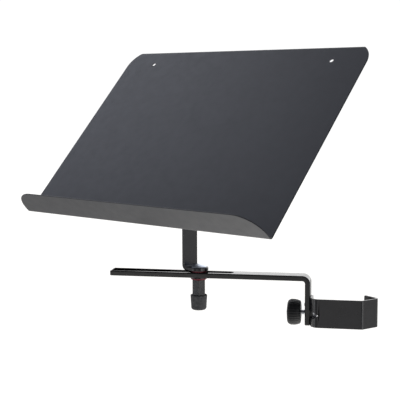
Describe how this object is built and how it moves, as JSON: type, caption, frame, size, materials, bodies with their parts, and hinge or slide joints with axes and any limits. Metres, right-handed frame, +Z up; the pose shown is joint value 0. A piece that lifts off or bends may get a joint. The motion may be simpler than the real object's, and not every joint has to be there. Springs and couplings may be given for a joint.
{
  "type": "music stand",
  "caption": "Clamp-on music desk: a tilting sheet-steel desk with a lip, on a strap that swivels and slides along a slotted arm, with a screw hook that grips a round tube.",
  "frame": {"origin": "on the axis of the 16 mm tube seated in the hook, level with the clamp screw", "axes": "+X along the slotted arm from its free end towards the tube, +Y away from the reader, +Z up along the tube"},
  "size_m": [0.4146, 0.348, 0.3079],
  "materials": {
    "desk_steel": "satin dark grey powder coat",
    "arm_steel": "glossy black lacquer",
    "hook_steel": "semi-gloss black powder coat",
    "blackened_steel": "black oxide",
    "zinc_steel": "zinc plated",
    "bright_steel": "bright nickel plated",
    "knob_plastic": "fine-textured black plastic",
    "pad_plastic": "hard black plastic",
    "cap_rubber": "matte dark grey rubber",
    "red_fibre": "dark red vulcanised fibre"
  },
  "bodies": {
    "arm": {"slotted_arm": "arm_steel", "tube_hook": "hook_steel", "hook_rivet": "hook_steel", "square_nut": "zinc_steel"},
    "pad": {"pressure_pad": "pad_plastic"},
    "knob": {"clamp_knob": "knob_plastic", "clamp_screw": "zinc_steel"},
    "carriage": {"upper_fibre_washer": "red_fibre"},
    "under_washers": {"plate_washer": "blackened_steel", "lower_fibre_washer": "red_fibre"},
    "locking_nut": {"sleeve_nut": "blackened_steel", "rubber_cap": "cap_rubber"},
    "support": {"support_strap": "hook_steel", "pivot_bolt": "bright_steel"},
    "desk": {"desk_plate": "desk_steel", "tilt_bracket": "hook_steel", "tilt_bolt": "blackened_steel", "tilt_fibre_washers": "red_fibre", "tilt_washer": "blackened_steel", "tilt_nut": "blackened_steel"}
  },
  "joints": [
    {"name": "clamp_travel", "type": "slide", "parent": "arm", "child": "pad", "axis": [1, 0, 0], "range_m": [-0.017, 0.0035]},
    {"name": "knob_turn", "type": "hinge", "parent": "pad", "child": "knob", "pos_m": [0, 0, 0], "axis": [1, 0, 0], "range_deg": [-6120.5, 1260.5]},
    {"name": "slot_slide", "type": "slide", "parent": "arm", "child": "carriage", "axis": [1, 0, 0], "range_m": [-0.0905, 0.0345]},
    {"name": "washer_drop", "type": "slide", "parent": "carriage", "child": "under_washers", "axis": [0, 0, 1], "range_m": [-0.0025, 0]},
    {"name": "locking_nut_turn", "type": "hinge", "parent": "under_washers", "child": "locking_nut", "pos_m": [-0.188, 0, 0], "axis": [0, 0, 1], "range_deg": [-720.5, 0.5]},
    {"name": "desk_swivel", "type": "hinge", "parent": "carriage", "child": "support", "pos_m": [-0.188, 0, 0], "axis": [0, 0, 1], "continuous": true},
    {"name": "desk_tilt", "type": "hinge", "parent": "support", "child": "desk", "pos_m": [-0.19963, 0.00685, 0.1656], "axis": [0.8616, -0.5075, 0], "range_deg": [-45, 44]}
  ],
  "couplings": [
    {"joint": "knob_turn", "follows": "clamp_travel", "rad_per_m": 6283.2},
    {"joint": "locking_nut_turn", "follows": "washer_drop", "rad_per_m": 5026.5}
  ]
}
